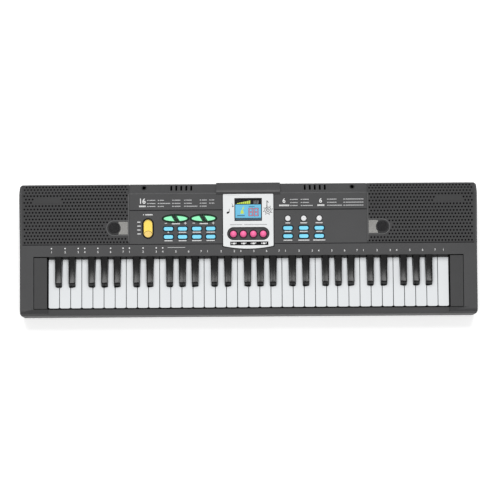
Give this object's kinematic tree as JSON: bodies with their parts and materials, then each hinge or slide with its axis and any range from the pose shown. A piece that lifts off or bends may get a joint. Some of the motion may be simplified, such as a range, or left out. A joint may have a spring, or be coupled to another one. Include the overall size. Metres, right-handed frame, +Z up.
{
  "type": "toy electronic keyboard",
  "caption": "Full-width toy piano keyboard with hinged keys, push buttons, a small display, two grilled speakers and a battery bay.",
  "frame": {"origin": "under the middle of the case, on the surface that the rubber feet stand on", "axes": "+X to the player's right, +Y to the rear, +Z up"},
  "size_m": [0.73, 0.212, 0.06],
  "materials": {
    "case_grey": "satin moulded",
    "case_lower": "fine texture",
    "grille_grey": "fine texture",
    "mesh_black": "satin",
    "trim_silver": "satin silver paint",
    "basket_steel": "plated",
    "cone_paper": "pressed paper",
    "panel_white": "gloss",
    "window_clear": "clear",
    "display_face": "printed",
    "board_green": "solder mask",
    "rubber_grey": "silicone",
    "chassis_black": "moulded",
    "contact_metal": "nickel plated",
    "screw_steel": "zinc plated",
    "rubber_black": "matt",
    "key_white": "gloss",
    "key_black": "gloss",
    "button_blue": "satin",
    "button_white": "satin",
    "pad_pink": "silicone",
    "rocker_green": "satin",
    "switch_yellow": "satin"
  },
  "bodies": {
    "case": {"battery_terminals": "contact_metal", "button_mats": "rubber_grey", "case_screws": "screw_steel", "display_module": "display_face", "display_panel": "panel_white", "display_window": "window_clear", "jack_sockets": "chassis_black", "key_chassis": "chassis_black", "key_contact_board": "board_green", "key_contact_rubbers": "rubber_grey", "lower_case": "case_lower", "main_board": "board_green", "round_grilles": "mesh_black", "rubber_feet": "rubber_black", "speaker_baskets": "basket_steel", "speaker_cones": "cone_paper", "speaker_grilles": "grille_grey", "stand_sockets": "chassis_black", "trim_plates": "trim_silver", "upper_case": "case_grey"},
    "battery_cover": {"battery_cover": "case_lower"},
    "blue_button_left_lower_1": {"blue_button_left_lower_1": "button_blue"},
    "blue_button_left_lower_2": {"blue_button_left_lower_2": "button_blue"},
    "blue_button_left_lower_3": {"blue_button_left_lower_3": "button_blue"},
    "blue_button_left_lower_4": {"blue_button_left_lower_4": "button_blue"},
    "blue_button_left_upper_1": {"blue_button_left_upper_1": "button_blue"},
    "blue_button_left_upper_2": {"blue_button_left_upper_2": "button_blue"},
    "blue_button_left_upper_3": {"blue_button_left_upper_3": "button_blue"},
    "blue_button_left_upper_4": {"blue_button_left_upper_4": "button_blue"},
    "blue_button_right_lower_1": {"blue_button_right_lower_1": "button_blue"},
    "blue_button_right_lower_2": {"blue_button_right_lower_2": "button_blue"},
    "blue_button_right_lower_3": {"blue_button_right_lower_3": "button_blue"},
    "blue_button_right_upper_1": {"blue_button_right_upper_1": "button_blue"},
    "blue_button_right_upper_2": {"blue_button_right_upper_2": "button_blue"},
    "blue_button_right_upper_3": {"blue_button_right_upper_3": "button_blue"},
    "drum_pad_1": {"drum_pad_1": "pad_pink"},
    "drum_pad_2": {"drum_pad_2": "pad_pink"},
    "drum_pad_3": {"drum_pad_3": "pad_pink"},
    "drum_pad_4": {"drum_pad_4": "pad_pink"},
    "keys_1_black": {"keys_1_black": "key_black"},
    "keys_1_cegb": {"keys_1_cegb": "key_white"},
    "keys_1_dfa": {"keys_1_dfa": "key_white"},
    "keys_2_black": {"keys_2_black": "key_black"},
    "keys_2_cegb": {"keys_2_cegb": "key_white"},
    "keys_2_dfa": {"keys_2_dfa": "key_white"},
    "keys_3_black": {"keys_3_black": "key_black"},
    "keys_3_cegb": {"keys_3_cegb": "key_white"},
    "keys_3_dfa": {"keys_3_dfa": "key_white"},
    "keys_4_black": {"keys_4_black": "key_black"},
    "keys_4_cegb": {"keys_4_cegb": "key_white"},
    "keys_4_dfa": {"keys_4_dfa": "key_white"},
    "keys_5_black": {"keys_5_black": "key_black"},
    "keys_5_cegb": {"keys_5_cegb": "key_white"},
    "keys_5_dfa": {"keys_5_dfa": "key_white"},
    "mode_switch": {"mode_switch": "switch_yellow"},
    "round_button_1": {"round_button_1": "button_white"},
    "round_button_2": {"round_button_2": "button_white"},
    "round_button_3": {"round_button_3": "button_white"},
    "tempo_rocker": {"tempo_rocker": "rocker_green"},
    "volume_rocker": {"volume_rocker": "rocker_green"}
  },
  "joints": [
    {"name": "battery_cover_hinge", "type": "hinge", "parent": "case", "child": "battery_cover", "pos_m": [0, 0.022, 0.0032], "axis": [1, 0, 0], "range_deg": [-90, 0]},
    {"name": "blue_button_left_lower_1_press", "type": "slide", "parent": "case", "child": "blue_button_left_lower_1", "axis": [0, 0.1205, -0.9927], "range_m": [0, 0.0012], "stiffness_N_per_m": 200, "springref_m": -0.002},
    {"name": "blue_button_left_lower_2_press", "type": "slide", "parent": "case", "child": "blue_button_left_lower_2", "axis": [0, 0.1205, -0.9927], "range_m": [0, 0.0012], "stiffness_N_per_m": 200, "springref_m": -0.002},
    {"name": "blue_button_left_lower_3_press", "type": "slide", "parent": "case", "child": "blue_button_left_lower_3", "axis": [0, 0.1205, -0.9927], "range_m": [0, 0.0012], "stiffness_N_per_m": 200, "springref_m": -0.002},
    {"name": "blue_button_left_lower_4_press", "type": "slide", "parent": "case", "child": "blue_button_left_lower_4", "axis": [0, 0.1205, -0.9927], "range_m": [0, 0.0012], "stiffness_N_per_m": 200, "springref_m": -0.002},
    {"name": "blue_button_left_upper_1_press", "type": "slide", "parent": "case", "child": "blue_button_left_upper_1", "axis": [0, 0.1205, -0.9927], "range_m": [0, 0.0012], "stiffness_N_per_m": 200, "springref_m": -0.002},
    {"name": "blue_button_left_upper_2_press", "type": "slide", "parent": "case", "child": "blue_button_left_upper_2", "axis": [0, 0.1205, -0.9927], "range_m": [0, 0.0012], "stiffness_N_per_m": 200, "springref_m": -0.002},
    {"name": "blue_button_left_upper_3_press", "type": "slide", "parent": "case", "child": "blue_button_left_upper_3", "axis": [0, 0.1205, -0.9927], "range_m": [0, 0.0012], "stiffness_N_per_m": 200, "springref_m": -0.002},
    {"name": "blue_button_left_upper_4_press", "type": "slide", "parent": "case", "child": "blue_button_left_upper_4", "axis": [0, 0.1205, -0.9927], "range_m": [0, 0.0012], "stiffness_N_per_m": 200, "springref_m": -0.002},
    {"name": "blue_button_right_lower_1_press", "type": "slide", "parent": "case", "child": "blue_button_right_lower_1", "axis": [0, 0.1205, -0.9927], "range_m": [0, 0.0012], "stiffness_N_per_m": 200, "springref_m": -0.002},
    {"name": "blue_button_right_lower_2_press", "type": "slide", "parent": "case", "child": "blue_button_right_lower_2", "axis": [0, 0.1205, -0.9927], "range_m": [0, 0.0012], "stiffness_N_per_m": 200, "springref_m": -0.002},
    {"name": "blue_button_right_lower_3_press", "type": "slide", "parent": "case", "child": "blue_button_right_lower_3", "axis": [0, 0.1205, -0.9927], "range_m": [0, 0.0012], "stiffness_N_per_m": 200, "springref_m": -0.002},
    {"name": "blue_button_right_upper_1_press", "type": "slide", "parent": "case", "child": "blue_button_right_upper_1", "axis": [0, 0.1205, -0.9927], "range_m": [0, 0.0012], "stiffness_N_per_m": 200, "springref_m": -0.002},
    {"name": "blue_button_right_upper_2_press", "type": "slide", "parent": "case", "child": "blue_button_right_upper_2", "axis": [0, 0.1205, -0.9927], "range_m": [0, 0.0012], "stiffness_N_per_m": 200, "springref_m": -0.002},
    {"name": "blue_button_right_upper_3_press", "type": "slide", "parent": "case", "child": "blue_button_right_upper_3", "axis": [0, 0.1205, -0.9927], "range_m": [0, 0.0012], "stiffness_N_per_m": 200, "springref_m": -0.002},
    {"name": "drum_pad_1_press", "type": "slide", "parent": "case", "child": "drum_pad_1", "axis": [0, 0.1205, -0.9927], "range_m": [0, 0.0012], "stiffness_N_per_m": 250, "springref_m": -0.002},
    {"name": "drum_pad_2_press", "type": "slide", "parent": "case", "child": "drum_pad_2", "axis": [0, 0.1205, -0.9927], "range_m": [0, 0.0012], "stiffness_N_per_m": 250, "springref_m": -0.002},
    {"name": "drum_pad_3_press", "type": "slide", "parent": "case", "child": "drum_pad_3", "axis": [0, 0.1205, -0.9927], "range_m": [0, 0.0012], "stiffness_N_per_m": 250, "springref_m": -0.002},
    {"name": "drum_pad_4_press", "type": "slide", "parent": "case", "child": "drum_pad_4", "axis": [0, 0.1205, -0.9927], "range_m": [0, 0.0012], "stiffness_N_per_m": 250, "springref_m": -0.002},
    {"name": "keys_1_black_hinge", "type": "hinge", "parent": "case", "child": "keys_1_black", "pos_m": [0, 0.011, 0.028], "axis": [1, 0, 0], "range_deg": [0, 3.5], "stiffness_Nm_per_rad": 0.3, "springref_deg": -6.88},
    {"name": "keys_1_cegb_hinge", "type": "hinge", "parent": "case", "child": "keys_1_cegb", "pos_m": [0, 0.001, 0.028], "axis": [1, 0, 0], "range_deg": [0, 3.5], "stiffness_Nm_per_rad": 0.3, "springref_deg": -6.88},
    {"name": "keys_1_dfa_hinge", "type": "hinge", "parent": "case", "child": "keys_1_dfa", "pos_m": [0, 0.006, 0.028], "axis": [1, 0, 0], "range_deg": [0, 3.5], "stiffness_Nm_per_rad": 0.3, "springref_deg": -6.88},
    {"name": "keys_2_black_hinge", "type": "hinge", "parent": "case", "child": "keys_2_black", "pos_m": [0, 0.011, 0.028], "axis": [1, 0, 0], "range_deg": [0, 3.5], "stiffness_Nm_per_rad": 0.3, "springref_deg": -6.88},
    {"name": "keys_2_cegb_hinge", "type": "hinge", "parent": "case", "child": "keys_2_cegb", "pos_m": [0, 0.001, 0.028], "axis": [1, 0, 0], "range_deg": [0, 3.5], "stiffness_Nm_per_rad": 0.3, "springref_deg": -6.88},
    {"name": "keys_2_dfa_hinge", "type": "hinge", "parent": "case", "child": "keys_2_dfa", "pos_m": [0, 0.006, 0.028], "axis": [1, 0, 0], "range_deg": [0, 3.5], "stiffness_Nm_per_rad": 0.3, "springref_deg": -6.88},
    {"name": "keys_3_black_hinge", "type": "hinge", "parent": "case", "child": "keys_3_black", "pos_m": [0, 0.011, 0.028], "axis": [1, 0, 0], "range_deg": [0, 3.5], "stiffness_Nm_per_rad": 0.3, "springref_deg": -6.88},
    {"name": "keys_3_cegb_hinge", "type": "hinge", "parent": "case", "child": "keys_3_cegb", "pos_m": [0, 0.001, 0.028], "axis": [1, 0, 0], "range_deg": [0, 3.5], "stiffness_Nm_per_rad": 0.3, "springref_deg": -6.88},
    {"name": "keys_3_dfa_hinge", "type": "hinge", "parent": "case", "child": "keys_3_dfa", "pos_m": [0, 0.006, 0.028], "axis": [1, 0, 0], "range_deg": [0, 3.5], "stiffness_Nm_per_rad": 0.3, "springref_deg": -6.88},
    {"name": "keys_4_black_hinge", "type": "hinge", "parent": "case", "child": "keys_4_black", "pos_m": [0, 0.011, 0.028], "axis": [1, 0, 0], "range_deg": [0, 3.5], "stiffness_Nm_per_rad": 0.3, "springref_deg": -6.88},
    {"name": "keys_4_cegb_hinge", "type": "hinge", "parent": "case", "child": "keys_4_cegb", "pos_m": [0, 0.001, 0.028], "axis": [1, 0, 0], "range_deg": [0, 3.5], "stiffness_Nm_per_rad": 0.3, "springref_deg": -6.88},
    {"name": "keys_4_dfa_hinge", "type": "hinge", "parent": "case", "child": "keys_4_dfa", "pos_m": [0, 0.006, 0.028], "axis": [1, 0, 0], "range_deg": [0, 3.5], "stiffness_Nm_per_rad": 0.3, "springref_deg": -6.88},
    {"name": "keys_5_black_hinge", "type": "hinge", "parent": "case", "child": "keys_5_black", "pos_m": [0, 0.011, 0.028], "axis": [1, 0, 0], "range_deg": [0, 3.5], "stiffness_Nm_per_rad": 0.3, "springref_deg": -6.88},
    {"name": "keys_5_cegb_hinge", "type": "hinge", "parent": "case", "child": "keys_5_cegb", "pos_m": [0, 0.001, 0.028], "axis": [1, 0, 0], "range_deg": [0, 3.5], "stiffness_Nm_per_rad": 0.3, "springref_deg": -6.88},
    {"name": "keys_5_dfa_hinge", "type": "hinge", "parent": "case", "child": "keys_5_dfa", "pos_m": [0, 0.006, 0.028], "axis": [1, 0, 0], "range_deg": [0, 3.5], "stiffness_Nm_per_rad": 0.3, "springref_deg": -6.88},
    {"name": "mode_switch_slide", "type": "slide", "parent": "case", "child": "mode_switch", "axis": [0, 0.9927, 0.1205], "range_m": [0, 0.018]},
    {"name": "round_button_1_press", "type": "slide", "parent": "case", "child": "round_button_1", "axis": [0, 0.1205, -0.9927], "range_m": [0, 0.0012], "stiffness_N_per_m": 200, "springref_m": -0.002},
    {"name": "round_button_2_press", "type": "slide", "parent": "case", "child": "round_button_2", "axis": [0, 0.1205, -0.9927], "range_m": [0, 0.0012], "stiffness_N_per_m": 200, "springref_m": -0.002},
    {"name": "round_button_3_press", "type": "slide", "parent": "case", "child": "round_button_3", "axis": [0, 0.1205, -0.9927], "range_m": [0, 0.0012], "stiffness_N_per_m": 200, "springref_m": -0.002},
    {"name": "tempo_rocker_tilt", "type": "hinge", "parent": "case", "child": "tempo_rocker", "pos_m": [-0.0714, 0.04929, 0.04833], "axis": [0, 0.9927, 0.1205], "range_deg": [-3, 3], "stiffness_Nm_per_rad": 0.05},
    {"name": "volume_rocker_tilt", "type": "hinge", "parent": "case", "child": "volume_rocker", "pos_m": [-0.1159, 0.04929, 0.04833], "axis": [0, 0.9927, 0.1205], "range_deg": [-3, 3], "stiffness_Nm_per_rad": 0.05}
  ]
}
